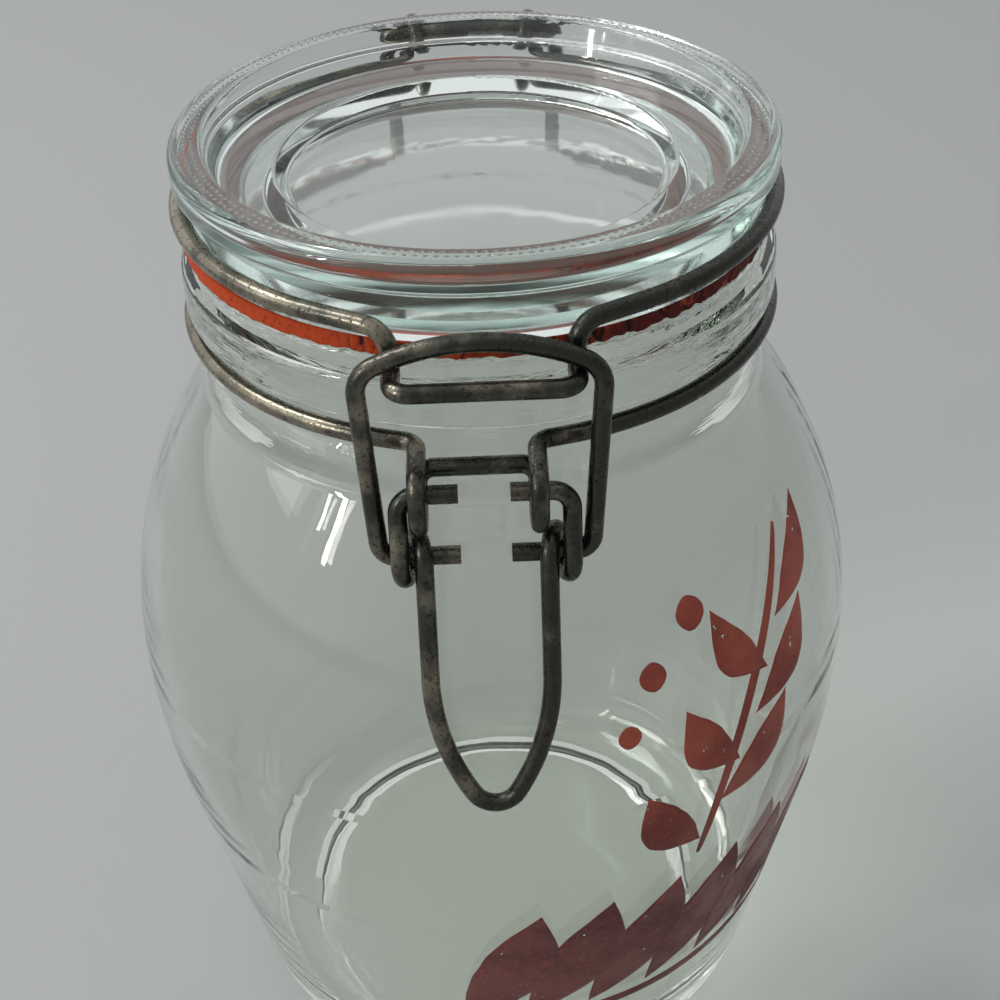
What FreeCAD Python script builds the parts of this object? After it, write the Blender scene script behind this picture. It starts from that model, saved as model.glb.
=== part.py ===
import FreeCAD, Part
import math
import os

import Sketcher

# A clip-top storage jar: a blown and pressed glass jar, a pressed glass lid with its rubber ring,
# and a closure of four bent steel wires. Z is up, the jar's axis is Z, the latch is on the -Y side,
# the hinge on the +Y side, and the plane that the jar stands on is Z = 0. Millimetres and degrees.

SIZES = [
    # the glass jar, from the lip downwards
    ("jar_height", 169.2, "standing plane to the top of the lip"),
    ("neck_bore", 82.8, "inner diameter of the neck"),
    ("lip_width", 8.3, "width of the sealing lip"),
    ("lip_depth", 3.0, "lip top to the seam under it"),
    ("seam_depth", 0.4, "how far the seam steps in from the lip"),
    ("bead_drop", 4.2, "lip top to the upper edge of the bead"),
    ("bead_height", 7.0, "height of the bead's outer face"),
    ("bead_projection", 1.7, "how far the bead stands out beyond the lip"),
    ("groove_drop", 12.8, "lip top to the upper edge of the wire groove"),
    ("groove_height", 5.4, "height of the wire groove"),
    ("groove_depth", 0.7, "how far the groove steps in from the lip"),
    ("collar_inset", 0.2, "how far the collar steps in from the lip"),
    ("neck_height", 27.0, "lip top to the foot of the collar"),
    ("belly_diameter", 136.8, "widest outer diameter"),
    ("belly_height", 87.0, "standing plane to the widest ring"),
    ("belly_radius", 140.0, "profile radius just below the widest ring"),
    ("taper", 12.5, "degrees that the lower wall leans in"),
    ("heel_radius", 9.0, "profile radius of the heel"),
    ("wall", 3.6, "glass thickness of shoulder and belly"),
    ("bearing_width", 2.0, "width of the ring that the jar stands on"),
    ("push_up", 3.0, "height of the hollow under the floor"),
    ("push_up_slope", 5.3, "width of the slope round that hollow"),
    ("floor_glass", 3.0, "glass above the hollow at the floor's edge"),
    ("floor_crown", 1.5, "how far the floor rises to its middle"),
    ("floor_corner", 13.7, "inner radius between floor and wall"),
    ("shoulder_corner", 8.0, "inner radius between neck and shoulder"),
    ("collar_corner", 4.0, "outer radius between collar and shoulder"),
    ("lip_edge", 1.6, "rounding of the lip's edges"),
    ("bead_edge", 1.3, "rounding of the bead's edges"),
    ("push_up_edge", 1.0, "rounding of the edges of the hollow"),
    # the glass lid
    ("lid_height", 13.6, "sealing face to the top of the rim"),
    ("rim_height", 5.7, "thickness of the overhanging rim"),
    ("rim_projection", 1.5, "how far the rim stands out beyond the lip"),
    ("rim_width", 5.5, "rim's outer edge to the recess"),
    ("skirt_inset", 0.7, "how far the skirt steps in from the lip"),
    ("ledge_projection", 0.3, "how far the ledge stands out beyond the lip"),
    ("ledge_height", 1.2, "height of the ledge that carries the lid wire"),
    ("recess_depth", 6.5, "rim top to the floor of the recess"),
    ("recess_draft", 2.5, "how far the recess wall leans in"),
    ("recess_ledge", 9.2, "width of the recess floor round the well"),
    ("well_depth", 2.5, "depth of the round well in the middle"),
    ("well_draft", 2.0, "how far the well's wall leans in"),
    ("plug_play", 1.4, "gap between the plug and the neck"),
    ("plug_depth", 3.9, "sealing face to the foot of the plug"),
    ("plug_width", 4.0, "width of the plug's foot"),
    ("dish_depth", 3.0, "depth of the hollow inside the plug"),
    ("dish_draft", 3.0, "how far the hollow's wall leans in"),
    ("rim_edge", 1.9, "rounding of the rim's upper outer edge"),
    ("rim_under_edge", 1.1, "rounding of the rim's lower outer edge"),
    ("lid_edge", 0.9, "rounding of the lid's small edges"),
    ("recess_corner", 2.0, "inner radius at the foot of the recess wall"),
    # the rubber ring
    ("gasket_thickness", 3.15, "pressed thickness of the rubber ring"),
    ("gasket_projection", 0.1, "how far the ring stands out beyond the lip"),
    ("gasket_play", 0.4, "gap between the ring and the plug"),
    ("gasket_edge", 0.6, "rounding of the ring's edges"),
    ("seal_gap", 0.05, "gap between the ring and the lip"),
    # the wires
    ("wire_diameter", 3.0, "diameter of every wire"),
    ("seat_gap", 0.05, "gap between a ring of wire and the glass it grips"),
    ("groove_gap", 0.2, "gap between the neck wire and the groove's upper edge"),
    ("ledge_gap", 0.1, "gap between the lid wire and its ledge"),
    ("bend", 3.0, "centreline radius of an ordinary bend"),
    ("tight_bend", 2.5, "centreline radius of a tight bend"),
    ("wide_bend", 4.0, "centreline radius of a wide bend"),
    # the hinge
    ("hinge_span", 25.6, "distance between the two arms of the lid wire"),
    ("hinge_pitch", 3.2, "how far a coil moves along the bar in its turn"),
    ("hinge_play", 0.3, "gap between a coil and the bar inside it"),
    ("rim_gap", 0.2, "gap between a coil and the lid's rim"),
    ("post_gap", 1.0, "gap between a coil and the post beside it"),
    ("foot_gap", 2.3, "gap between a post's foot and the bead"),
    ("arm_run", 5.3, "straight run between the lid wire's ring and its arm"),
    # the hooks of the neck wire
    ("hook_span", 18.6, "distance between the two hooks"),
    ("hook_shift", -1.6, "how far the old wire has moved to one side"),
    ("hook_run", 4.6, "straight run between the neck wire's ring and a hook"),
    ("hook_play", 0.15, "gap between a hook and the lever's pin"),
    ("hook_depth", 2.3, "lever's pin to the centre of the hook's bend"),
    ("pin_drop", 4.1, "ring of the neck wire to the lever's pin"),
    ("pin_reach", 6.4, "bead to the lever's pin, at least"),
    ("hook_bar_gap", 0.7, "gap between the hooks' cross bar and the collar"),
    ("hook_bar_drop", 0.3, "gap between the cross bar and the ring above it"),
    # the lever
    ("latch_shift", -0.7, "how far the lever and the bail have moved to one side"),
    ("lever_gap", 0.2, "gap between the hooks and the lever's legs"),
    ("coil_play", 0.35, "gap between the lever's coils and the bail's pins"),
    ("coil_gap", 0.3, "gap between the lever's coils and the hooks"),
    ("coil_room", 0.25, "gap between the lever's coils and the shoulder, at least"),
    ("lever_lean", 13.2, "largest angle of the lever against the upright, degrees"),
    ("loop_gap", 0.3, "gap between the closed lever and the shoulder"),
    ("loop_width", 19.4, "width of the thumb loop at the coils"),
    ("loop_straight", 20.0, "length of the loop's straight sides"),
    ("loop_length", 43.3, "coils to the tip of the loop"),
    ("loop_point", 32.0, "degrees that a side has turned where the tip starts"),
    ("pin_end", 4.0, "middle of the latch to the end of each pin"),
    # the lid wire's clasp and the bail
    ("clasp_span", 28.0, "distance between the runs that the bail pulls on"),
    ("clasp_run", 0.2, "straight run between the two bends of a clasp leg"),
    ("clasp_gap", 0.4, "gap between a clasp leg and the lid's ledge"),
    ("arch_gap", 0.4, "gap between the bail's arch and the lid wire's ring"),
    ("bar_gap", 0.55, "gap between the bail's arch and the clasp bar"),
    ("bail_gap", 0.2, "gap between the bail's feet and the lever's legs, at least"),
    ("clasp_room", 0.9, "gap between the bail's legs and the clasp, at least"),
    ("bail_play", 0.12, "gap between the bail and the runs that it pulls on"),
    ("bail_splay", 3.8, "degrees that the bail's legs lean apart"),
    ("arch_radius", 38.0, "centreline radius of the bail's arch"),
    ("arch_corner", 4.8, "centreline radius of the bail's upper corners"),
]


class Size:
    """A number together with the sheet expression that gives it."""

    def __init__(self, value, text):
        self.value = value
        self.text = text

    @staticmethod
    def of(other):
        return other if isinstance(other, Size) else Size(float(other), repr(other))

    def joined(self, other, sign, value):
        return Size(value, f"({self.text} {sign} {Size.of(other).text})")

    def __add__(self, other):
        return self.joined(other, "+", self.value + Size.of(other).value)

    def __sub__(self, other):
        return self.joined(other, "-", self.value - Size.of(other).value)

    def __mul__(self, other):
        return self.joined(other, "*", self.value * Size.of(other).value)

    def __truediv__(self, other):
        return self.joined(other, "/", self.value / Size.of(other).value)

    def root(self):
        return Size(math.sqrt(self.value), f"sqrt({self.text})")

    def sine(self):
        return Size(math.sin(math.radians(self.value)), f"sin({self.text})")

    def cosine(self):
        return Size(math.cos(math.radians(self.value)), f"cos({self.text})")

    def tangent(self):
        return Size(math.tan(math.radians(self.value)), f"tan({self.text})")


doc = FreeCAD.newDocument("clip_top_jar")
sheet = doc.addObject("Spreadsheet::Sheet", "Sizes")
for row, (alias, value, meaning) in enumerate(SIZES, start=1):
    sheet.set(f"A{row}", meaning)
    sheet.set(f"B{row}", str(value))
    sheet.setAlias(f"B{row}", alias)
doc.recompute()
size = {alias: Size(float(sheet.get(alias)), f"Sizes.{alias}") for alias, _, _ in SIZES}
num = {alias: entry.value for alias, entry in size.items()}


# ---- turned glass and rubber -------------------------------------------------------------------

def turned_outline(body, name, corners):
    """A sketch of half the section. Each corner is (r, z) and, where the side after it is an arc,
    (r, z, radius, hand), with hand 1 for a centre on the left of the way round and -1 on the right."""
    sketch = body.newObject("Sketcher::SketchObject", name)
    planes = {feature.Role: feature for feature in body.Origin.OriginFeatures}
    sketch.AttachmentSupport = (planes["XZ_Plane"], [""])
    sketch.MapMode = "FlatFace"
    ends = []
    for corner, following in zip(corners, corners[1:] + corners[:1]):
        start = FreeCAD.Vector(corner[0].value, corner[1].value, 0)
        end = FreeCAD.Vector(following[0].value, following[1].value, 0)
        if len(corner) == 2:
            side = sketch.addGeometry(Part.LineSegment(start, end), False)
            ends.append((side, 1, 2))
            continue
        radius, hand = corner[2], corner[3]
        chord = end - start
        rise = math.sqrt(radius.value ** 2 - (chord.Length / 2) ** 2)
        leftward = FreeCAD.Vector(-chord.y, chord.x, 0).normalize()
        centre = (start + end) * 0.5 + leftward * (hand * rise)
        first, last = (start, end) if hand > 0 else (end, start)
        circle = Part.Circle(centre, FreeCAD.Vector(0, 0, 1), radius.value)
        angles = [math.atan2(spot.y - centre.y, spot.x - centre.x) for spot in (first, last)]
        side = sketch.addGeometry(Part.ArcOfCircle(circle, *angles), False)
        ends.append((side, 1, 2) if hand > 0 else (side, 2, 1))
        bound = sketch.addConstraint(Sketcher.Constraint("Radius", side, radius.value))
        sketch.setExpression(f"Constraints[{bound}]", radius.text)
    for before, after in zip(ends, ends[1:] + ends[:1]):
        sketch.addConstraint(Sketcher.Constraint("Coincident", before[0], before[2], after[0], after[1]))
    for corner, (side, point, _) in zip(corners, ends):
        for kind, axis, place in (("DistanceX", -2, corner[0]), ("DistanceY", -1, corner[1])):
            if place.value == 0:
                sketch.addConstraint(Sketcher.Constraint("PointOnObject", side, point, axis))
                continue
            bound = sketch.addConstraint(Sketcher.Constraint(kind, -1, 1, side, point, place.value))
            sketch.setExpression(f"Constraints[{bound}]", place.text)
    return sketch


def ring_edges(shape, places):
    """Names of the circular edges round Z that pass through the given (r, z) corners."""
    names = []
    for index, edge in enumerate(shape.Edges, start=1):
        if not isinstance(edge.Curve, Part.Circle):
            continue
        spot = (edge.Curve.Radius, edge.Curve.Center.z)
        if any(math.dist(spot, (r.value, z.value)) < 1e-4 for r, z in places):
            names.append(f"Edge{index}")
    return names


def turned_piece(name, corners, roundings):
    """A body turned round Z from its half section, with its edges rounded."""
    body = doc.addObject("PartDesign::Body", name)
    body.Label = name
    sketch = turned_outline(body, f"{name}_section", corners)
    sketch.Visibility = False
    doc.recompute()
    turned = body.newObject("PartDesign::Revolution", f"{name}_turned")
    turned.Profile = sketch
    turned.ReferenceAxis = (sketch, ["V_Axis"])
    turned.Angle = 360
    doc.recompute()
    tip = turned
    for radius, places in roundings:
        fillet = body.newObject("PartDesign::Fillet", f"{name}_{radius.text.split('.')[-1]}")
        fillet.Base = (tip, ring_edges(tip.Shape, places))
        fillet.Radius = radius.value
        fillet.setExpression("Radius", radius.text)
        doc.recompute()
        tip = fillet
    body.Tip = tip
    return body


zero = Size(0.0, "0")
bore_r = size["neck_bore"] / 2
lip_r = bore_r + size["lip_width"]
bead_r = lip_r + size["bead_projection"]
groove_r = lip_r - size["groove_depth"]
collar_r = lip_r - size["collar_inset"]
lip_z = size["jar_height"]
groove_top = lip_z - size["groove_drop"]
belly_r = size["belly_diameter"] / 2
belly_z = size["belly_height"]

# the shoulder is one arc from the widest ring, where it stands upright, to the foot of the collar
collar_foot = lip_z - size["neck_height"]
shoulder_in = belly_r - collar_r
shoulder_up = collar_foot - belly_z
shoulder_radius = (shoulder_in * shoulder_in + shoulder_up * shoulder_up) / (shoulder_in * 2)


def jar_glass():
    """The jar: bead, wire groove and collar over a round shoulder, and a wall that leans in to the heel."""
    lean_sine = size["taper"].sine()
    lean_cosine = size["taper"].cosine()
    lean_tangent = size["taper"].tangent()
    heel = size["heel_radius"]

    def below_belly(widest, radius):
        """Where the arc under the widest ring passes into the straight wall."""
        return widest - radius * (Size(1.0, "1") - lean_cosine), belly_z - radius * lean_sine

    wall_r, wall_z = below_belly(belly_r, size["belly_radius"])
    heel_z = heel - heel * lean_sine
    heel_r = wall_r - (wall_z - heel_z) * lean_tangent
    standing_r = heel_r - heel * lean_cosine
    hollow_r = standing_r - size["bearing_width"]
    hollow_top_r = hollow_r - size["push_up_slope"]
    hollow_z = size["push_up"]

    inner_belly_r = belly_r - size["wall"]
    inner_radius = size["belly_radius"] - size["wall"]
    inner_r, inner_z = below_belly(inner_belly_r, inner_radius)
    floor_z = hollow_z + size["floor_glass"]
    floor_r = inner_r - (inner_z - floor_z) * lean_tangent
    inner_shoulder = shoulder_radius - size["wall"]
    inner_run = inner_shoulder - (inner_belly_r - bore_r)
    neck_foot = belly_z + (inner_shoulder * inner_shoulder - inner_run * inner_run).root()

    seam = (lip_r - size["seam_depth"], lip_z - size["lip_depth"] - size["seam_depth"])
    bead_top = lip_z - size["bead_drop"]
    bead_foot = bead_top - size["bead_height"]
    groove_foot = groove_top - size["groove_height"]
    collar_top = groove_foot - (collar_r - groove_r) * 2

    corners = [
        (zero, hollow_z),
        (hollow_top_r, hollow_z),
        (hollow_r, zero),
        (standing_r, zero, heel, 1),
        (heel_r, heel_z),
        (wall_r, wall_z, size["belly_radius"], 1),
        (belly_r, belly_z, shoulder_radius, 1),
        (collar_r, collar_foot),
        (collar_r, collar_top),
        (groove_r, groove_foot),
        (groove_r, groove_top),
        (bead_r, bead_foot),
        (bead_r, bead_top),
        seam,
        (lip_r, lip_z - size["lip_depth"]),
        (lip_r, lip_z),
        (bore_r, lip_z),
        (bore_r, neck_foot, inner_shoulder, -1),
        (inner_belly_r, belly_z, inner_radius, -1),
        (inner_r, inner_z),
        (floor_r, floor_z),
        (zero, floor_z + size["floor_crown"]),
    ]
    return turned_piece("jar_glass", corners, [
        (size["floor_corner"], [(floor_r, floor_z)]),
        (size["shoulder_corner"], [(bore_r, neck_foot)]),
        (size["collar_corner"], [(collar_r, collar_foot)]),
        (size["lip_edge"], [(lip_r, lip_z), (bore_r, lip_z)]),
        (size["bead_edge"], [(bead_r, bead_foot), (bead_r, bead_top)]),
        (size["push_up_edge"], [(hollow_top_r, hollow_z)]),
    ])


plug_r = bore_r - size["plug_play"]
seat_z = lip_z + size["seal_gap"] + size["gasket_thickness"]
skirt_r = lip_r - size["skirt_inset"]
ledge_r = lip_r + size["ledge_projection"]
ledge_z = seat_z + size["ledge_height"]
rim_r = lip_r + size["rim_projection"]


def lid_glass():
    """The lid: an overhanging rim round a recess, a skirt and ledge for its wire, and a plug below."""
    top = seat_z + size["lid_height"]
    rim_foot = top - size["rim_height"]
    recess_r = rim_r - size["rim_width"]
    recess_floor_r = recess_r - size["recess_draft"]
    recess_z = top - size["recess_depth"]
    well_r = recess_floor_r - size["recess_ledge"]
    well_floor_r = well_r - size["well_draft"]
    well_z = recess_z - size["well_depth"]
    plug_foot = seat_z - size["plug_depth"]
    plug_inner_r = plug_r - size["plug_width"]
    dish_r = plug_inner_r - size["dish_draft"]
    dish_z = plug_foot + size["dish_depth"]
    corners = [
        (zero, dish_z),
        (dish_r, dish_z),
        (plug_inner_r, plug_foot),
        (plug_r, plug_foot),
        (plug_r, seat_z),
        (ledge_r, seat_z),
        (ledge_r, ledge_z),
        (skirt_r, ledge_z),
        (skirt_r, rim_foot),
        (rim_r, rim_foot),
        (rim_r, top),
        (recess_r, top),
        (recess_floor_r, recess_z),
        (well_r, recess_z),
        (well_floor_r, well_z),
        (zero, well_z),
    ]
    return turned_piece("lid_glass", corners, [
        (size["rim_edge"], [(rim_r, top)]),
        (size["rim_under_edge"], [(rim_r, rim_foot)]),
        (size["recess_corner"], [(recess_floor_r, recess_z)]),
        (size["lid_edge"], [
            (recess_r, top),
            (well_r, recess_z),
            (well_floor_r, well_z),
            (plug_r, plug_foot),
            (plug_inner_r, plug_foot),
            (skirt_r, rim_foot),
        ]),
    ])


def gasket():
    """The flat rubber ring between lid and lip, held on the lid by the plug."""
    inner_r = plug_r + size["gasket_play"]
    outer_r = lip_r + size["gasket_projection"]
    foot = lip_z + size["seal_gap"]
    corners = [(inner_r, foot), (outer_r, foot), (outer_r, seat_z), (inner_r, seat_z)]
    return turned_piece("gasket", corners, [
        (size["gasket_edge"], [(outer_r, foot), (outer_r, seat_z)]),
    ])


# ---- bent wire ---------------------------------------------------------------------------------

def line(start, end):
    return Part.LineSegment(start, end).toShape()


def arc(start, middle, end):
    return Part.Arc(start, middle, end).toShape()


def bent_run(stops):
    """Straight runs from stop to stop, with a tangent arc at each stop that has a bend radius."""
    edges = []
    here = stops[0][0]
    for (before, _), (corner, radius), (after, _) in zip(stops, stops[1:], stops[2:]):
        arriving = (corner - before).normalize()
        leaving = (after - corner).normalize()
        half_turn = arriving.getAngle(leaving) / 2
        reach = radius * math.tan(half_turn)
        inward = (leaving - arriving).normalize()
        start = corner - arriving * reach
        end = corner + leaving * reach
        edges.append(line(here, start))
        edges.append(arc(start, corner + inward * (radius / math.cos(half_turn) - radius), end))
        here = end
    edges.append(line(here, stops[-1][0]))
    return edges


def coil_turn(start, heading, to_centre, along):
    """One turn of a coil as two half circles that tilt sideways, so that it ends `along` from its
    start with the same heading. to_centre runs from the start to the coil's axis."""
    far_side = start + to_centre * 2 + along * 0.5
    end = start + along
    edges = []
    for first, last, way in ((start, far_side, heading), (far_side, end, heading * -1)):
        edges.append(arc(first, (first + last) * 0.5 + way * ((last - first).Length / 2), last))
    return edges


def ring_spot(radius, angle, hand, height):
    """A point of a ring round Z, at an angle from the -Y side towards +X (hand 1) or -X (hand -1)."""
    return FreeCAD.Vector(hand * radius * math.sin(angle), -radius * math.cos(angle), height)


def ring_exit(radius, corner):
    """The angle at which a straight run leaves a ring tangentially for a corner outside it."""
    distance = math.hypot(corner.x, corner.y)
    way = 1 if corner.y < 0 else -1
    return math.atan2(abs(corner.x), -corner.y) + way * math.acos(radius / distance)


def ring_arc(radius, front, back, hand, height):
    middle = ring_spot(radius, (front + back) / 2, hand, height)
    return arc(ring_spot(radius, front, hand, height), middle, ring_spot(radius, back, hand, height))


def wire_piece(name, edges):
    """A round wire of the common diameter, swept along its centreline."""
    path = doc.addObject("Part::Feature", f"{name}_path")
    path.Shape = Part.Wire(edges)
    start = edges[0].Vertexes[0].Point
    section = doc.addObject("Part::Circle", f"{name}_section")
    section.setExpression("Radius", "Sizes.wire_diameter / 2")
    turn = FreeCAD.Rotation(FreeCAD.Vector(0, 0, 1), edges[0].tangentAt(edges[0].FirstParameter))
    section.Placement = FreeCAD.Placement(start, turn)
    sweep = doc.addObject("Part::Sweep", name)
    sweep.Label = name
    sweep.Sections = [section]
    sweep.Spine = (path, [])
    sweep.Solid = True
    sweep.Frenet = False
    doc.recompute()
    expected = math.pi * wire_r ** 2 * path.Shape.Length
    if abs(sweep.Shape.Volume / expected - 1) > 0.002:
        raise ValueError(f"{name}: {sweep.Shape.Volume:.1f} mm3 is not section times length {expected:.1f}")
    return sweep


point = FreeCAD.Vector
wire_d = num["wire_diameter"]
wire_r = wire_d / 2

# rings of wire that grip the glass
neck_ring = groove_r.value + num["seat_gap"] + wire_r
neck_z = groove_top.value - num["groove_gap"] - wire_r
lid_ring = skirt_r.value + num["seat_gap"] + wire_r
lid_z = ledge_z.value + num["ledge_gap"] + wire_r

# the hinge's axis: the coils hang from the lid wire's arms, just clear of the lid's rim
hinge_coil = wire_d + num["hinge_play"]
hinge_y = rim_r.value + num["rim_gap"] + wire_r + hinge_coil
hinge_z = lid_z + hinge_coil
arm_x = num["hinge_span"] / 2

# the lever's legs stand outside the hooks, and its coils lead from them to the thumb loop
lever_x = (num["hook_span"] / 2 + abs(num["hook_shift"] - num["latch_shift"])
           + wire_d + num["lever_gap"])
loop_x = num["loop_width"] / 2
hook_radius = wire_d + num["hook_play"]
coil_radius = wire_d + num["coil_play"]
pins_apart = num["hook_depth"] + hook_radius + coil_radius + wire_d + num["coil_gap"]
lever_leg = math.sqrt(pins_apart ** 2 - coil_radius ** 2)


def lever_axes(angle):
    """Unit vectors down the lever and from it towards the jar, for its angle against the upright."""
    down = FreeCAD.Vector(0, -math.sin(angle), -math.cos(angle))
    return down, FreeCAD.Vector(0, math.cos(angle), -math.sin(angle))


# the lever's pin is far enough out to clear the bead, for the closed lever to lie along the
# shoulder without leaning out too far, and for the coils to clear the shoulder
pin_z = neck_z - num["pin_drop"]
pin_rise = pin_z - belly_z.value
lean_limit = math.radians(num["lever_lean"])
shoulder_r = belly_r.value - shoulder_radius.value
lying_radius = shoulder_radius.value + wire_r + num["loop_gap"]
pin_for_lean = shoulder_r + (lying_radius - math.sin(lean_limit) * pin_rise) / math.cos(lean_limit)
down_limit, behind_limit = lever_axes(lean_limit)
to_coil = down_limit * lever_leg + behind_limit * coil_radius
coil_rise = pin_rise + to_coil.z
coil_x = (lever_x + loop_x) / 2 - abs(num["latch_shift"])
clear_radius = shoulder_radius.value + coil_radius + wire_r + num["coil_room"]
coil_out = shoulder_r + math.sqrt(clear_radius ** 2 - coil_rise ** 2)
pin_for_coil = math.sqrt(coil_out ** 2 - coil_x ** 2) + to_coil.y
pin_y = -max(bead_r.value + num["pin_reach"], pin_for_lean, pin_for_coil)

# the lever's plane holds its pin and is tangent to the shoulder
pin_out = -pin_y - shoulder_r
lean = math.atan2(pin_rise, pin_out) - math.acos(lying_radius / math.hypot(pin_out, pin_rise))
down_lever, behind_lever = lever_axes(lean)
lever_pin = point(num["latch_shift"], pin_y, pin_z)
coil_front = lever_pin + down_lever * lever_leg
bail_pin = coil_front + behind_lever * coil_radius

# the clasp that the bail pulls on
clasp_x = num["clasp_span"] / 2
clasp_z = lid_z - num["wide_bend"] - num["clasp_run"] - num["tight_bend"]
arch_y = -(lid_ring + wire_d + num["arch_gap"])
clasp_y = arch_y - wire_d - num["bar_gap"]


def across(hand, distance):
    return point(hand * distance, 0, 0)


def neck_wire():
    """The closed wire round the neck: two hooks and a cross bar in front, and behind it two posts
    with the hinge's bar."""
    post_x = arm_x + wire_d + num["post_gap"]
    foot_radius = bead_r.value + num["foot_gap"] + wire_r
    hook_y = pin_y - hook_radius
    hook_centre = point(0, pin_y, pin_z - num["hook_depth"])
    bar = point(0, -(collar_r.value + num["hook_bar_gap"] + wire_r), neck_z - wire_d - num["hook_bar_drop"])

    # the hook's inner leg runs from the cross bar and touches the circle of the hook's bend
    to_bar = bar - hook_centre
    slope = math.atan2(to_bar.z, to_bar.y) + math.asin(hook_radius / to_bar.Length)
    bottom_z = bar.z - (bar.y - hook_y) * math.tan(slope)

    def half(hand):
        hook_x = num["hook_shift"] + hand * num["hook_span"] / 2
        hook_root = math.hypot(neck_ring, num["hook_run"])
        front = point(hook_x, -math.sqrt(hook_root ** 2 - hook_x ** 2), neck_z)
        foot = point(hand * post_x, math.sqrt(foot_radius ** 2 - post_x ** 2), neck_z)
        front_exit = ring_exit(neck_ring, front)
        back_exit = ring_exit(neck_ring, foot)
        hook = bent_run([
            (point(num["hook_shift"], bar.y, bar.z), None),
            (point(hook_x, bar.y, bar.z), num["tight_bend"]),
            (point(hook_x, hook_y, bottom_z), hook_radius),
            (point(hook_x, hook_y, neck_z), num["bend"]),
            (front, num["bend"]),
            (ring_spot(neck_ring, front_exit, hand, neck_z), None),
        ])
        post = bent_run([
            (ring_spot(neck_ring, back_exit, hand, neck_z), None),
            (foot, num["bend"]),
            (point(hand * post_x, hinge_y, hinge_z), num["tight_bend"]),
            (point(0, hinge_y, hinge_z), None),
        ])
        return hook + [ring_arc(neck_ring, front_exit, back_exit, hand, neck_z)] + post

    return wire_piece("neck_wire", half(1) + half(-1)[::-1])


def lid_wire():
    """The wire round the lid: a square clasp in front, and arms with a coil each round the hinge's bar."""
    def half(hand):
        leg_radius = ledge_r.value + num["clasp_gap"] + wire_r
        leg_y = -math.sqrt(leg_radius ** 2 - clasp_x ** 2)
        arm_root = math.hypot(lid_ring, num["arm_run"])
        leg = point(hand * clasp_x, leg_y, lid_z)
        arm = point(hand * arm_x, math.sqrt(arm_root ** 2 - arm_x ** 2), lid_z)
        front_exit = ring_exit(lid_ring, leg)
        back_exit = ring_exit(lid_ring, arm)
        clasp = bent_run([
            (point(0, clasp_y, clasp_z), None),
            (point(hand * clasp_x, clasp_y, clasp_z), num["bend"]),
            (point(hand * clasp_x, leg_y, clasp_z), num["tight_bend"]),
            (leg, num["wide_bend"]),
            (ring_spot(lid_ring, front_exit, hand, lid_z), None),
        ])
        coil_start = point(hand * arm_x, hinge_y, lid_z)
        arm_run = bent_run([
            (ring_spot(lid_ring, back_exit, hand, lid_z), None),
            (arm, num["bend"]),
            (coil_start, None),
        ])
        turn = coil_turn(coil_start, point(0, 1, 0), point(0, 0, hinge_coil),
                         across(-hand, num["hinge_pitch"]))
        return clasp + [ring_arc(lid_ring, front_exit, back_exit, hand, lid_z)] + arm_run + turn

    return wire_piece("lid_wire", half(1)[::-1] + half(-1))


def lever_wire():
    """The lever: two pins in the hooks, legs, a coil round each pin of the bail, and the thumb loop."""
    # each side of the loop is straight, then an arc until it has turned by loop_point, then the tip's
    # arc; the two radii make the side end in the middle at loop_length
    turned = math.radians(num["loop_point"])
    curved = num["loop_length"] - num["loop_straight"]
    side_in = 1 - math.cos(turned)
    side_down = math.sin(turned)
    tip_in = math.cos(turned)
    tip_down = 1 - math.sin(turned)
    whole = side_in * tip_down - tip_in * side_down
    side_radius = (loop_x * tip_down - tip_in * curved) / whole
    tip_radius = (side_in * curved - loop_x * side_down) / whole
    tip_centre = num["loop_length"] - tip_radius

    def half(hand):
        leg_top = lever_pin + across(hand, lever_x)
        leg = bent_run([
            (lever_pin + across(hand, num["pin_end"]), None),
            (leg_top, num["bend"]),
            (leg_top + down_lever * lever_leg, None),
        ])
        coil_start = coil_front + across(hand, lever_x)
        turn = coil_turn(coil_start, down_lever, behind_lever * coil_radius,
                         across(-hand, lever_x - loop_x))

        def spot(x, down):
            return coil_front + across(hand, x) + down_lever * down

        def on_side(angle):
            return spot(loop_x - side_radius * (1 - math.cos(angle)),
                        num["loop_straight"] + side_radius * math.sin(angle))

        def on_tip(angle):
            return spot(tip_radius * math.cos(angle), tip_centre + tip_radius * math.sin(angle))

        loop = [
            line(spot(loop_x, 0), on_side(0)),
            arc(on_side(0), on_side(turned / 2), on_side(turned)),
            arc(on_side(turned), on_tip((turned + math.pi / 2) / 2), on_tip(math.pi / 2)),
        ]
        return leg + turn + loop

    return wire_piece("lever_wire", half(1) + half(-1)[::-1])


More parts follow.
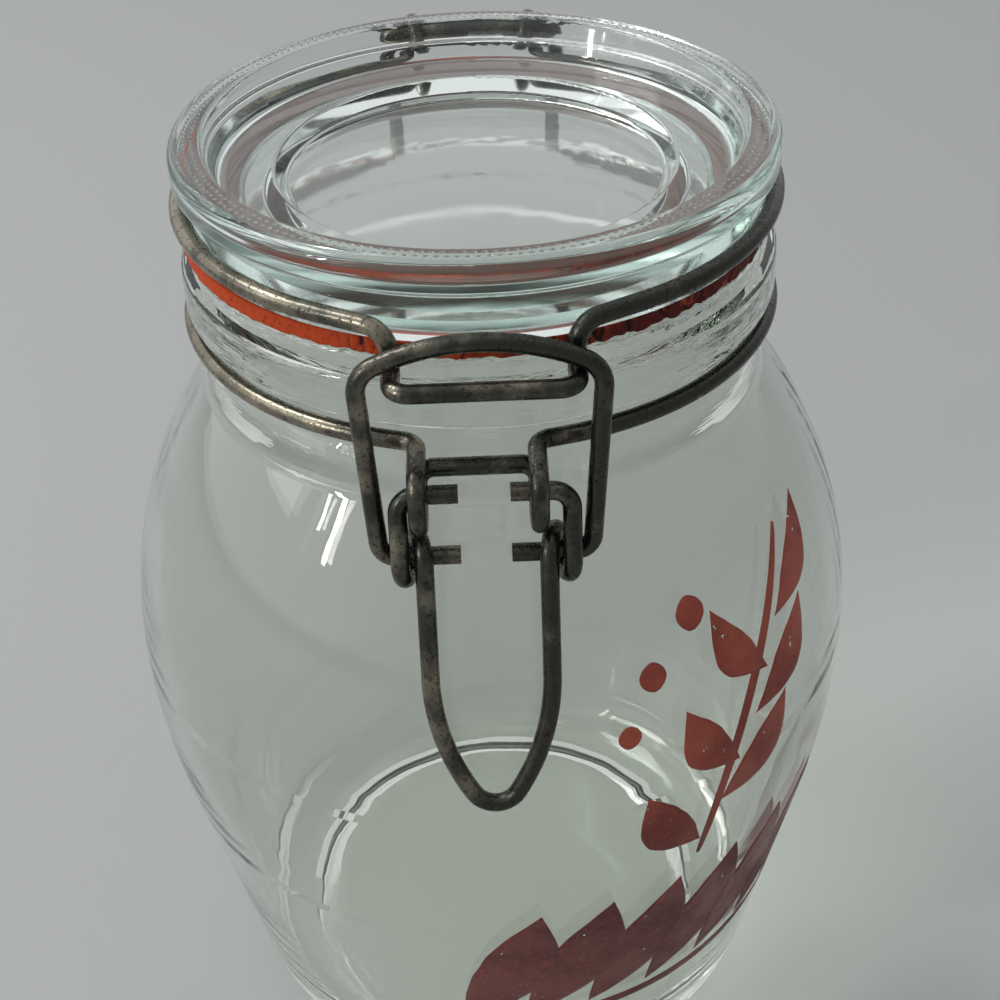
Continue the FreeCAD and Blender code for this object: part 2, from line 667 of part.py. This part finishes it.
def bail_wire():
    """The bail: two pins in the lever's coils, splayed legs, and an arch over the clasp's runs."""
    lean_in = math.atan2(arch_y - bail_pin.y, lid_z - bail_pin.z)
    up_bail = point(0, math.sin(lean_in), math.cos(lean_in))
    splay = math.radians(num["bail_splay"])

    # the feet stand outside the lever's legs, and the splayed legs outside the clasp
    run_x = clasp_x + abs(num["latch_shift"])
    run_up = (clasp_z - bail_pin.z) / math.cos(lean_in)
    beside_lever = lever_x + wire_d + num["bail_gap"]
    beside_clasp = run_x + wire_d + num["clasp_room"] - run_up * math.tan(splay)
    foot_x = max(beside_lever, beside_clasp)

    # the arch's circle passes the runs of the clasp at a wire's width and a little play
    inside = num["arch_radius"] - wire_d - num["bail_play"]
    arch_up = run_up - math.sqrt(inside ** 2 - run_x ** 2)

    # the corner's circle touches the splayed leg and the arch
    corner = num["arch_corner"]
    leg_out = foot_x * math.cos(splay) + arch_up * math.sin(splay) - corner
    leg_up = math.sqrt((num["arch_radius"] - corner) ** 2 - leg_out ** 2)
    corner_x = leg_out * math.cos(splay) + leg_up * math.sin(splay)
    corner_up = arch_up - leg_out * math.sin(splay) + leg_up * math.cos(splay)
    arch_end = math.atan2(corner_x, corner_up - arch_up)

    def half(hand):
        def spot(x, up):
            return bail_pin + across(hand, x) + up_bail * up

        def on_corner(angle):
            return spot(corner_x + corner * math.sin(angle), corner_up + corner * math.cos(angle))

        def on_arch(angle):
            return spot(num["arch_radius"] * math.sin(angle),
                        arch_up + num["arch_radius"] * math.cos(angle))

        leg_end = math.pi / 2 + splay
        leg = bent_run([
            (spot(num["pin_end"], 0), None),
            (spot(foot_x, 0), num["bend"]),
            (on_corner(leg_end), None),
        ])
        bend = arc(on_corner(leg_end), on_corner((leg_end + arch_end) / 2), on_corner(arch_end))
        return leg + [bend, arc(on_arch(arch_end), on_arch(arch_end / 2), on_arch(0))]

    return wire_piece("bail_wire", half(1) + half(-1)[::-1])


pieces = [jar_glass(), lid_glass(), gasket(), neck_wire(), lid_wire(), lever_wire(), bail_wire()]
doc.recompute()

for entry in doc.Objects:
    if "Invalid" in entry.State or "Error" in entry.State:
        raise RuntimeError(f"{entry.Label} did not build: {entry.State}")
for piece in pieces:
    if piece.Shape.isNull() or not piece.Shape.isValid() or len(piece.Shape.Solids) != 1:
        raise RuntimeError(f"{piece.Label} is not one valid solid")

os.makedirs("parts", exist_ok=True)
for piece in pieces:
    piece.Shape.exportStep(f"parts/{piece.Label}.step")
    print(f"{piece.Label}: {piece.Shape.Volume:.0f} mm3")
print("hinge axis", round(hinge_y, 4), round(hinge_z, 4))
print("lever pin", lever_pin, "bail pin", bail_pin, "lean", round(math.degrees(lean), 3))
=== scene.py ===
import math

import bpy
import numpy as np
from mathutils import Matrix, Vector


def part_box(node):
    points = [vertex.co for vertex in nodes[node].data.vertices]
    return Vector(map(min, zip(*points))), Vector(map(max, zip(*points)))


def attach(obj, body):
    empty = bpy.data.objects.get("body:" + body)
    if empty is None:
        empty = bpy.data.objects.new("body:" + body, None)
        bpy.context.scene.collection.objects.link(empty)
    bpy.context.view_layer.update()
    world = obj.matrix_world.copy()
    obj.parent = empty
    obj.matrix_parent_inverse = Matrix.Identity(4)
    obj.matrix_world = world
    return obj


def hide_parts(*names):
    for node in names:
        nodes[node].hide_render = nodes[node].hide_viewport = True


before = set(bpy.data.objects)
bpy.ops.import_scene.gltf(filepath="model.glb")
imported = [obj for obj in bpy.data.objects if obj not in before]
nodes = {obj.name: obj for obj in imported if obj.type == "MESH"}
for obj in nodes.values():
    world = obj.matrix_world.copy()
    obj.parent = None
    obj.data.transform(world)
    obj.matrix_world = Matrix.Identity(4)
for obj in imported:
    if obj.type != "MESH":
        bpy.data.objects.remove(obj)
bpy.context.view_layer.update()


# ---- The jar -----------------------------------------------------------------------------------
# One piece of clear soda-lime glass, blown in a mould with a pressed neck. It has a faint
# grey-green cast where it is thick, and its walls ripple a little, most of all round the neck.
class Value:
    """A shader socket. Sums, differences, products and quotients written on it add Math nodes."""

    def __init__(self, paint, socket):
        self.paint, self.socket = paint, socket

    def math(self, operation, *terms):
        """A Math node on those terms."""
        return self.paint.node("ShaderNodeMath", {"operation": operation}, dict(enumerate(terms)))

    def __add__(self, other):
        return self.math("ADD", self, other)

    def __sub__(self, other):
        return self.math("SUBTRACT", self, other)

    def __rsub__(self, other):
        return self.math("SUBTRACT", other, self)

    def __mul__(self, other):
        return self.math("MULTIPLY", self, other)

    def __truediv__(self, other):
        return self.math("DIVIDE", self, other)

    __radd__, __rmul__ = __add__, __mul__

    def step(self, low, high):
        """0 below low, 1 above high, and smooth between them."""
        return self.paint.node("ShaderNodeMapRange", {"interpolation_type": "SMOOTHSTEP"},
                               {"Value": self, "From Min": low, "From Max": high})

    def output(self, name):
        """Another output of the same node."""
        return Value(self.paint, self.socket.node.outputs[name])


class Paint:
    """A material, or the world, whose nodes are added one by one."""

    def __init__(self, name, owner=None):
        self.owner = owner or bpy.data.materials.new(name)
        self.owner.use_nodes = True
        self.tree = self.owner.node_tree
        self.tree.nodes.clear()

    def node(self, kind, settings=None, inputs=None, out=0):
        """Add a node. A Value among its inputs is linked, anything else is set on the socket."""
        made = self.tree.nodes.new(kind)
        for name, value in (settings or {}).items():
            setattr(made, name, value)
        for name, value in (inputs or {}).items():
            if isinstance(value, Value):
                self.tree.links.new(value.socket, made.inputs[name])
            else:
                made.inputs[name].default_value = value
        return Value(self, made.outputs[out]) if made.outputs else None

    def place(self):
        """Where on the piece a point lies, in metres."""
        return self.node("ShaderNodeTexCoord", out="Object")

    def noise(self, at, scale, detail, roughness=0.5):
        """Soft noise about 1 / scale metres across, in as many finer octaves as detail says."""
        return self.node("ShaderNodeTexNoise", {}, {"Vector": at, "Scale": scale, "Detail": detail,
                                                    "Roughness": roughness})

    def colour(self, mask, low, high):
        """low where the mask is 0, high where it is 1; each a colour or a socket."""
        low, high = (end if isinstance(end, Value) else (*end, 1.0) for end in (low, high))
        return self.node("ShaderNodeMix", {"data_type": "RGBA"}, {0: mask, 6: low, 7: high}, out=2)

    def bump(self, height, strength, distance, under=None):
        """A normal tilted by that height, laid over the normal under it."""
        inputs = {"Height": height, "Strength": strength, "Distance": distance}
        if under:
            inputs["Normal"] = under
        return self.node("ShaderNodeBump", {}, inputs)

    def surface(self, shader, volume=None):
        """Close the material with its output node."""
        inputs = {"Surface": shader}
        if volume:
            inputs["Volume"] = volume
        self.node("ShaderNodeOutputMaterial", {}, inputs)
        return self.owner


def dress(thing, material):
    """The one material of a piece."""
    thing.data.materials.clear()
    thing.data.materials.append(material)


def clear_glass(name, shade, tint, depth, polish, ripple, orange_peel=0.0, pressed=None):
    """Clear glass: it bends light, darkens to green over a long path, and lets lamps through. It
    ripples above its smooth foot, and where it was pressed, above that height, fine drag marks run
    round it. The rest of its numbers are how strong each of these is."""
    paint = Paint(name)
    inputs = {"Base Color": (*shade, 1.0), "Roughness": polish, "IOR": 1.51,
              "Transmission Weight": 1.0}
    if ripple:
        at = paint.place()
        height = paint.node("ShaderNodeSeparateXYZ", {}, {0: at}).output("Z")
        inputs["Roughness"] = paint.noise(at, 26.0, 2.0, 0.6).step(0.50, 0.80) * 0.11 + polish
        waves = paint.noise(at, 36.0, 1.0) + paint.noise(at, 240.0, 0.0) * orange_peel
        inputs["Normal"] = paint.bump(waves * height.step(0.010, 0.035), ripple, 0.001)
        if pressed:
            stretched = paint.node("ShaderNodeMapping", {}, {"Vector": at,
                                                             "Scale": (0.22, 0.22, 1.6)})
            above = height.step(pressed - 0.003, pressed + 0.003)
            drag = paint.noise(stretched, 620.0, 1.0, 0.6) * above
            inputs["Normal"] = paint.bump(drag, 0.32, 0.0005, inputs["Normal"])
    glass = paint.node("ShaderNodeBsdfPrincipled", {}, inputs)
    lamp = paint.node("ShaderNodeLightPath", out="Is Shadow Ray")
    passing = paint.node("ShaderNodeBsdfTransparent", {}, {"Color": (0.88, 0.895, 0.875, 1.0)})
    shader = paint.node("ShaderNodeMixShader", {}, {0: lamp, 1: glass, 2: passing})
    body = paint.node("ShaderNodeVolumeAbsorption", {}, {"Color": (*tint, 1.0), "Density": depth})
    return paint.surface(shader, body)


collar_foot = 0.146   # metres up the jar: the neck above it was pressed, the body below it blown
blown_glass = clear_glass("blown_glass", (0.87, 0.885, 0.860), (0.76, 0.83, 0.74), 9.0, 0.015,
                          0.15, 0.04, collar_foot)
dress(nodes["jar_glass"], blown_glass)


# ---- The print ---------------------------------------------------------------------------------
# Dark red glass enamel, screened on the blown jar and fired. A sprig with berries climbs the side
# and a garland of broad leaves runs below it; the colour is thin, with pinholes and soft edges.
MM = 0.001
belly_z, belly_r = 87.0, 68.4       # the widest place
upper_arc, lower_arc = 89.9, 140.0  # radii of the wall above and below it
taper = math.radians(12.5)          # the wall's lean once the lower arc has ended


def wall_radius(z):
    """The jar's outer radius at each height: an arc above the belly, a flatter arc below it, then a
    straight taper that leaves that arc tangentially."""
    above = belly_r - upper_arc + np.sqrt(upper_arc**2 - np.clip(z - belly_z, 0, 80) ** 2)
    drop = np.clip(belly_z - z, 0, lower_arc * math.sin(taper))
    below = belly_r - lower_arc + np.sqrt(lower_arc**2 - drop**2)
    rest = np.clip(belly_z - z - lower_arc * math.sin(taper), 0, 80) * math.tan(taper)
    return np.where(z > belly_z, above, below - rest)


def mesh_piece(name, points, faces, body):
    """A mesh of those points (in mm) and faces, riding on that body."""
    data = bpy.data.meshes.new(name)
    data.from_pydata((points * MM).tolist(), [], faces.tolist())
    data.validate()
    data.shade_smooth()
    piece = bpy.data.objects.new(name, data)
    bpy.context.scene.collection.objects.link(piece)
    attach(piece, body)
    return piece


def grid_faces(rows, columns, first=0, turned=False):
    """The quads of a grid of rows by columns points, numbered row by row from first. Turned, they
    face the other way."""
    corner = first + (np.arange(rows - 1)[:, None] * columns + np.arange(columns - 1)).ravel()
    quads = np.stack([corner, corner + 1, corner + columns + 1, corner + columns], 1)
    return quads[:, ::-1] if turned else quads


film_out, film_in = 0.03, 0.12   # how far the enamel stands out of the glass and bites into it


def enamel_shape(foot, tip, width, bow=0.0, sharp=0.75, seed=0, rows=40, columns=11):
    """A closed film on the jar's wall. u runs from foot to tip, each an angle in degrees and a
    height in mm, along a line bowed sideways by bow mm; v runs across it. Its half width at u is
    width / 2 * sin(pi u)^sharp, with small waves in it, so that both its ends narrow to points. An
    outer and an inner sheet lie film_out and film_in from the wall, joined by a strip all round."""
    u, v = np.linspace(0.0, 1.0, rows)[:, None], np.linspace(-1.0, 1.0, columns)[None, :]
    middle_z = (foot[1] + tip[1]) / 2
    spread = float(wall_radius(np.array(middle_z)))
    run = np.array([math.radians(tip[0] - foot[0]) * spread, tip[1] - foot[1]])
    side = np.array([-run[1], run[0]]) / np.hypot(*run)
    wave = 1 + 0.03 * np.sin(9 * u + seed) + 0.012 * np.sin(31 * u + 2.1 * seed)
    half = width / 2 * np.sin(math.pi * np.clip(u, 0.004, 0.996)) ** sharp * wave
    across = half * v + bow * np.sin(math.pi * u)
    angle = math.radians(foot[0]) + (run[0] * u + side[0] * across) / spread
    z = foot[1] + run[1] * u + side[1] * across
    layers = []
    for offset in (film_out, -film_in):
        radius = wall_radius(z) + offset
        layers.append(np.stack([radius * np.cos(angle), radius * np.sin(angle), z], -1))
    points = np.concatenate([layer.reshape(-1, 3) for layer in layers])
    count = rows * columns
    rim = np.concatenate([np.arange(columns), np.arange(1, rows) * columns + columns - 1,
                          count - 2 - np.arange(columns - 1),
                          (rows - 2 - np.arange(rows - 2)) * columns])
    after = np.roll(rim, -1)
    strip = np.stack([rim, after, after + count, rim + count], 1)
    outer = grid_faces(rows, columns, turned=True)
    inner = grid_faces(rows, columns, first=count)
    return points, np.concatenate([outer, inner, strip])


def print_piece(name, shapes):
    """The films of one motif as one mesh."""
    points, faces, first = [], [], 0
    for shape in shapes:
        film, film_faces = enamel_shape(**shape)
        points.append(film)
        faces.append(film_faces + first)
        first += len(film)
    return mesh_piece(name, np.concatenate(points), np.concatenate(faces), "jar")


def fired_enamel():
    """Matt dark red enamel, cloudier and browner in patches, with pinholes where it has worn. It is
    painted lighter and redder higher up the jar and darker low down, a painted light for the lamp
    above.
    """
    paint = Paint("fired_enamel")
    at = paint.place()
    cloud = paint.noise(at, 70.0, 4.0, 0.6).step(0.35, 0.7)
    grain = paint.noise(at, 900.0, 2.0, 0.6)
    worn = paint.noise(at, 420.0, 3.0, 0.65).step(0.655, 0.70)
    # Painted light: this height mask makes the enamel lighter and redder towards the top and darker
    # lower down.
    height = paint.node("ShaderNodeSeparateXYZ", {}, {0: at}).output("Z").step(0.055, 0.100)
    thin = paint.colour(height, (0.150, 0.024, 0.020), (0.330, 0.060, 0.030))
    thick = paint.colour(height, (0.085, 0.014, 0.013), (0.190, 0.026, 0.015))
    colour = paint.colour(cloud, thin, thick)
    colour = paint.colour(grain.step(0.5, 0.8), colour, (0.27, 0.045, 0.028))
    shader = paint.node("ShaderNodeBsdfPrincipled", {}, {
        "Base Color": colour, "Roughness": 0.34 + 0.25 * cloud, "Specular IOR Level": 0.45,
        "Alpha": 1.0 - worn, "Normal": paint.bump(grain, 0.35, 0.0001)})
    return paint.surface(shader)


enamel = fired_enamel()
sprig = [dict(foot=(-59.0, 70.0), tip=(-36.0, 126.0), width=2.2, bow=4.0, sharp=0.25, seed=1.0)]
for k in range(6):
    angle, z, hand = -59.0 + 3.4 * k, 74.0 + 7.6 * k, 1 if k % 2 else -1
    sprig.append(dict(foot=(angle, z), tip=(angle + (14.0 if hand > 0 else -9.5), z + 15.5),
                      width=9.5 - 0.5 * k, bow=-2.4 * hand, sharp=1.05, seed=float(k)))
dress(print_piece("print_sprig", sprig), enamel)
berries = []
for angle, z, size in [(-58.5, 121.0, 5.6), (-66.5, 113.0, 5.0), (-71.0, 103.5, 4.2)]:
    wide = math.degrees(size / 2 / float(wall_radius(np.array(z))))
    berries.append(dict(foot=(angle - wide, z), tip=(angle + wide, z), width=size, sharp=0.5,
                        seed=angle))
dress(print_piece("print_berries", berries), enamel)
garland = [dict(foot=(-98.0, 27.0), tip=(-18.0, 33.0), width=2.6, bow=-2.0, sharp=0.25, seed=2.0)]
for k in range(7):
    angle = -98.0 + 11.5 * k
    garland.append(dict(foot=(angle, 28.5 + 0.7 * k), tip=(angle + 13.5, 64.0 + 0.4 * k),
                        width=14.5, bow=-3.0, sharp=0.95, seed=7.0 + k))
dress(print_piece("print_garland", garland), enamel)


# ---- The neck wire -----------------------------------------------------------------------------
# A ring of 3 mm steel wire sprung into the groove under the lip, with its ends bent forward into
# two hooks for the lever and its back into two posts for the hinge. Years have turned it brown.
def tarnished_steel():
    """Drawn steel wire gone dull: olive black, brighter where it is rubbed, finely pitted. It is
    also painted brighter towards the left side, a painted highlight for the light from the left.
    """
    paint = Paint("tarnished_steel")
    at = paint.place()
    patch = paint.noise(at, 130.0, 4.0, 0.6)
    speck = paint.noise(at, 1400.0, 2.0, 0.6).step(0.54, 0.68)
    side = paint.node("ShaderNodeSeparateXYZ", {}, {0: at}).output("X")
    # Painted highlight: random rubbed patches plus a bias that brightens the wire towards the left
    # (-X), where the light falls.
    rubbed_and_lit_left = (patch - side * 5.0).step(0.42, 0.85)
    colour = paint.colour(rubbed_and_lit_left, (0.052, 0.052, 0.045), (0.300, 0.270, 0.205))
    colour = paint.colour(speck * 0.7, colour, (0.022, 0.019, 0.014))
    height = paint.noise(at, 420.0, 3.0, 0.6) - speck * 0.35
    shader = paint.node("ShaderNodeBsdfPrincipled", {}, {
        "Base Color": colour, "Metallic": 0.90, "Roughness": 0.25 + 0.20 * speck - 0.04 * rubbed_and_lit_left,
        "Normal": paint.bump(height, 0.35, 0.00018)})
    return paint.surface(shader)


steel = tarnished_steel()
dress(nodes["neck_wire"], steel)


# ---- The lid -----------------------------------------------------------------------------------
# Pressed clear glass, thick enough to look grey-green edge on. Its rim carries two rows of small
# raised beads, left by the mould, and its recess and round well are fire-polished.
pressed_tint, pressed_depth = (0.50, 0.80, 0.71), 8.0
pressed_glass = clear_glass("pressed_glass", (0.94, 0.96, 0.95), pressed_tint, pressed_depth, 0.045,
                            0.12, 0.08)
dress(nodes["lid_glass"], pressed_glass)
rim_top = 186.0


def bead_row(name, radius, count, long, wide, tall):
    """A ring of low beads on the rim's flat top. Each is an ellipsoid, long round the ring and wide
    across it, that stands tall above the rim and reaches as deep below it: its points are at
    (long / 2 cos a cos b, wide / 2 sin a cos b, tall sin b) from its centre, with a pole below and
    one above. Their faces are triangles, numbered by the four rings of points and the two poles."""
    around, rings = 8, 4
    a = np.linspace(0, 2 * math.pi, around, endpoint=False)
    b = np.radians([-45.0, 0.0, 28.0, 60.0])[:, None]
    bead = np.stack([long / 2 * np.cos(a) * np.cos(b), wide / 2 * np.sin(a) * np.cos(b),
                     tall * np.sin(b) + 0 * a], -1).reshape(-1, 3)
    bead = np.concatenate([bead, [[0, 0, -tall], [0, 0, tall]]])
    pole_low = around * rings
    pole_high, top_ring, size = pole_low + 1, pole_low - around, len(bead)
    level, side = np.arange(rings - 1)[:, None] * around, np.arange(around)
    after = (side + 1) % around
    one, two = level + side, level + after
    three, four = two + around, one + around
    faces = np.concatenate([np.stack([one, three, two], -1).reshape(-1, 3),
                            np.stack([one, four, three], -1).reshape(-1, 3),
                            np.stack([side, after, np.full(around, pole_low)], 1),
                            np.stack([top_ring + after, top_ring + side,
                                      np.full(around, pole_high)], 1)])
    turn = 2 * math.pi * np.arange(count) / count
    out = np.stack([np.cos(turn), np.sin(turn)], 1)
    along = np.stack([-np.sin(turn), np.cos(turn)], 1)
    flat = (radius + bead[None, :, 1:2]) * out[:, None] + bead[None, :, 0:1] * along[:, None]
    height = np.broadcast_to(rim_top + bead[None, :, 2:3], (count, size, 1))
    points = np.concatenate([flat, height], -1)
    every = (faces + size * np.arange(count)[:, None, None]).reshape(-1, 3)
    piece = mesh_piece(name, points.reshape(-1, 3), every, "lid")
    return piece


bead_glass = clear_glass("bead_glass", (0.80, 0.85, 0.82), pressed_tint, pressed_depth, 0.28, 0.0)
bead_size = dict(long=1.05, wide=0.62, tall=0.07)
dress(bead_row("lid_beads_outer", 48.45, 196, **bead_size), bead_glass)
dress(bead_row("lid_beads_inner", 47.15, 190, **bead_size), bead_glass)


# ---- The gasket --------------------------------------------------------------------------------
# A flat ring of orange rubber gripped by the lid's plug. Age has made it crack and darken in
# blotches: it is split across and crumbling at its lower edge. Its colour is painted brightest on
# the left and dark red on the right, a painted shade for the light falling from the left.
gasket_low, gasket_high = (float(c[2]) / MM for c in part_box("gasket"))
gasket_outer, gasket_inner = float(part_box("gasket")[1][0]) / MM, 40.4
turns = np.linspace(0.0, 2 * math.pi, 1080, endpoint=False)[:, None]


def cracks(angle, height, seed=5, count=210):
    """How deep the rubber is split at each angle and height (0 to 1 up the edge): the sum over many
    cracks of depth * exp(-(distance along the ring / its width)^2), each leaning its own way."""
    pick = np.random.default_rng(seed)
    where = pick.uniform(0, 2 * math.pi, count)
    right = 0.5 + 0.5 * np.cos(where + 0.6)
    keep = pick.uniform(0, 1, count) < 0.18 + 0.82 * right
    deep = pick.uniform(0.25, 1.0, count) * (0.35 + 0.65 * right) * keep
    lean, wide = pick.uniform(-0.045, 0.045, count), pick.uniform(0.0022, 0.0055, count)
    away = angle[..., None] - where - lean * (height[..., None] - 0.5)
    away = np.abs((away + math.pi) % (2 * math.pi) - math.pi)
    return np.clip((deep * np.exp(-((away / wide) ** 2))).sum(-1), 0, 1)


def gasket_ring():
    """A section carried round the ring. Its corners are rounded; on the outer edge the radius is
    outer + 0.4 - 0.45 cos a - 0.45 crack - lumps, squeezed out most on the left, and the lower
    corner is eaten upwards in a slow uneven wave."""
    low, high = gasket_low + 0.02, gasket_high - 0.06
    up = np.linspace(0.0, 1.0, 15)[None, :]
    lump = (np.sin(31 * turns + 4 * up) + np.sin(57 * turns - 6 * up + 1.3)
            + np.sin(113 * turns + 2.0)) / 3
    split = cracks(turns + 0 * up, up + 0 * turns)
    uneven = 0.30 + 0.22 * np.sin(43 * turns) + 0.18 * np.sin(97 * turns + 0.7)
    eaten = np.clip(uneven * (0.45 + 0.55 * np.cos(turns + 0.6)), 0.0, 0.8)
    corner = 0.45 * (1 - np.sqrt(1 - np.clip(np.abs(2 * up - 1) * 1.02 - 0.02, 0, 0.999) ** 6))
    edge_r = gasket_outer + 0.40 - 0.45 * np.cos(turns) - corner - 0.11 * (1 + lump) - 0.45 * split
    edge_z = low + eaten + (high - low - eaten) * up
    flat = np.linspace(1.0, 0.0, 9)[None, 1:]
    top_r = gasket_inner + (edge_r[:, -1:] - gasket_inner) * flat
    foot = np.linspace(0.0, 1.0, 9)[None, :-1]
    foot_r = gasket_inner + (edge_r[:, :1] - gasket_inner) * foot
    foot_z = low + eaten * foot ** 8
    radius = np.concatenate([edge_r, top_r, foot_r], 1)
    z = np.concatenate([edge_z, high + 0 * top_r, foot_z + 0 * foot_r], 1)
    points = np.stack([radius * np.cos(turns), radius * np.sin(turns), z], -1)
    split = np.concatenate([split, 0 * top_r, 0 * foot_r], 1)
    rows, columns = radius.shape
    here = np.arange(rows)[:, None] * columns + np.arange(columns)
    beside = np.roll(here, -1, 1)
    ahead, across = np.roll(here, -1, 0), np.roll(beside, -1, 0)
    faces = np.stack([here, ahead, across, beside], -1).reshape(-1, 4)
    return points.reshape(-1, 3), faces, split.ravel()


def aged_rubber():
    """Orange rubber with dark specks, in blotches of darker red. It is painted dark red towards the
    right, a painted shade for the light from the left; its cracks are painted near black, a painted
    shade in them; and its flat faces are painted a dull brown, a painted shade for their lying out
    of the light between glass and glass."""
    paint = Paint("aged_rubber")
    at = paint.place()
    side = paint.node("ShaderNodeSeparateXYZ", {}, {0: at}).output("X") / 0.05
    blotch = paint.noise(at, 120.0, 4.0, 0.6)
    # Painted shade: this mask darkens the rubber towards the right (+X), mixed with random blotches
    # of darker rubber.
    right_shade_and_blotch = (side * 0.60 + blotch * 1.1 - 0.38).step(0.0, 0.50)
    patch = paint.noise(at, 260.0, 3.0, 0.6).step(0.56, 0.62) * right_shade_and_blotch
    speck = paint.noise(at, 1500.0, 3.0, 0.6).step(0.59, 0.68)
    split = paint.node("ShaderNodeAttribute", {"attribute_name": "split"}, out="Fac")
    flat = paint.node("ShaderNodeVectorMath", {"operation": "MULTIPLY"},
                      {0: at, 1: (1.0, 1.0, 0.0)})
    out = paint.node("ShaderNodeVectorMath", {"operation": "LENGTH"}, {0: flat}, out="Value")
    colour = paint.colour(right_shade_and_blotch, (0.50, 0.058, 0.011), (0.085, 0.007, 0.004))
    colour = paint.colour(patch * 0.8, colour, (0.36, 0.060, 0.018))
    colour = paint.colour(speck * 0.85, colour, (0.060, 0.012, 0.008))
    # Painted shade: the cracks are painted near black, as shade inside them.
    colour = paint.colour(split.step(0.15, 0.7), colour, (0.022, 0.007, 0.006))
    # Painted shade: the flat faces, inside 48 mm radius, are painted dull brown for the shade
    # between lid and jar; the outer edge keeps its colour.
    colour = paint.colour(out.step(0.0480, 0.0490), (0.090, 0.036, 0.024), colour)
    grain = paint.noise(at, 700.0, 3.0, 0.6)
    shader = paint.node("ShaderNodeBsdfPrincipled", {}, {
        "Base Color": colour, "Roughness": 0.55 + 0.25 * blotch, "Specular IOR Level": 0.22,
        "Normal": paint.bump(grain, 0.5, 0.0002)})
    return paint.surface(shader)


points, faces, split = gasket_ring()
gasket = mesh_piece("gasket_ring", points, faces, "lid")
gasket.data.attributes.new("split", "FLOAT", "POINT").data.foreach_set("value", split)
rubber = aged_rubber()
dress(gasket, rubber)
dress(nodes["gasket"], rubber)
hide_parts("gasket")


# ---- The lid wire, the lever and the bail ------------------------------------------------------
# The lid's wire lies on the ledge under its rim and ends in the clasp bar. The lever turns in the
# neck wire's hooks, and the bail in the lever's coils; all are bent from the same steel wire.
dress(nodes["lid_wire"], steel)
dress(nodes["lever_wire"], steel)
dress(nodes["bail_wire"], steel)


# ---- The studio --------------------------------------------------------------------------------
# A plain pale grey table top under soft lamps: a broad one overhead, a faint one on the left, and
# two tall narrow ones at the front left, whose reflections are the streaks on the shoulder.
def floor():
    """A flat square under the jar."""
    paint = Paint("table_top")
    shader = paint.node("ShaderNodeBsdfPrincipled", {}, {
        "Base Color": (0.46, 0.475, 0.465, 1.0), "Roughness": 0.75})
    paint.surface(shader)
    data = bpy.data.meshes.new("table_top")
    data.from_pydata([(-3, -3, 0), (3, -3, 0), (3, 3, 0), (-3, 3, 0)], [], [(0, 1, 2, 3)])
    table = bpy.data.objects.new("table_top", data)
    bpy.context.scene.collection.objects.link(table)
    dress(table, paint.owner)


floor()


def softbox(name, azimuth, elevation, distance, size, power, colour=(1.0, 1.0, 1.0)):
    """A rectangular lamp that faces the jar from that direction."""
    lamp = bpy.data.lights.new(name, "AREA")
    lamp.shape, lamp.size, lamp.size_y = "RECTANGLE", *size
    lamp.energy, lamp.color = power, colour
    a, e = math.radians(azimuth), math.radians(elevation)
    holder = bpy.data.objects.new(name, lamp)
    way = Vector((math.cos(a) * math.cos(e), math.sin(a) * math.cos(e), math.sin(e)))
    holder.location = way * distance + Vector((0, 0, 0.11))
    holder.rotation_euler = way.to_track_quat("Z", "Y").to_euler()
    bpy.context.scene.collection.objects.link(holder)


softbox("window_lamp", -146.0, 23.5, 1.1, (0.030, 0.34), 1.75, (1.0, 0.97, 0.93))
softbox("window_lamp_far", -151.5, 24.5, 1.1, (0.02, 0.16), 0.25, (1.0, 0.97, 0.93))
softbox("top_lamp", 165.0, 52.0, 1.3, (0.5, 0.5), 5.5)
softbox("left_lamp", -172.0, 28.0, 1.2, (0.35, 0.45), 0.8)

# The room lights the jar evenly. Seen directly, mirrored or through glass, it shades from dim at
# the front right to pale at the back left, so that the glass has something to bend.
paint = Paint("room", bpy.data.worlds.new("room"))
bpy.context.scene.world = paint.owner
path = paint.node("ShaderNodeLightPath")
seen = path.math("MAXIMUM", path.output("Is Camera Ray"), path.output("Is Glossy Ray"))
seen = seen.math("MAXIMUM", seen, path.output("Is Transmission Ray"))
light = paint.node("ShaderNodeBackground", {}, {"Color": (0.62, 0.63, 0.64, 1.0), "Strength": 0.85})
sky = paint.node("ShaderNodeTexCoord", out="Generated")
way = paint.node("ShaderNodeSeparateXYZ", {}, {0: sky})
far = (way.output("Y") * 0.8 - way.output("X") * 0.9 + way.output("Z") * 0.25).step(-0.75, 0.45)
wall = paint.colour(far, (0.30, 0.305, 0.31), (0.86, 0.87, 0.88))
shown = paint.node("ShaderNodeBackground", {}, {"Color": wall, "Strength": 1.0})
mixed = paint.node("ShaderNodeMixShader", {}, {0: seen, 1: light, 2: shown})
paint.node("ShaderNodeOutputWorld", {}, {"Surface": mixed})

camera_place = (0, -0.2812, 0.3094)
ahead, camera_roll, view_angle = np.array([0.0061, 0.8124, -0.5831]), -2.02, 31.05
camera = bpy.data.cameras.new("camera")
camera.sensor_width = 36.0
camera.angle = math.radians(view_angle)
camera.clip_start = 0.01
holder = bpy.data.objects.new("camera", camera)
bpy.context.scene.collection.objects.link(holder)
ahead /= np.linalg.norm(ahead)
level = np.cross(ahead, [0, 0, 1])
level /= np.linalg.norm(level)
upright = np.cross(level, ahead)
roll = math.radians(camera_roll)
right = level * math.cos(roll) + upright * math.sin(roll)
upward = -level * math.sin(roll) + upright * math.cos(roll)
turn = np.eye(4)
turn[:3, 0], turn[:3, 1], turn[:3, 2], turn[:3, 3] = right, upward, -ahead, camera_place
holder.matrix_world = Matrix(turn.tolist())
bpy.context.scene.camera = holder
# Light crosses wall after wall of glass here, so it is followed further than by default.
bpy.context.scene.cycles.glossy_bounces = 10
bpy.context.scene.cycles.transmission_bounces = 14
bpy.context.scene.cycles.max_bounces = 16
bpy.context.scene.view_settings.view_transform = "Standard"
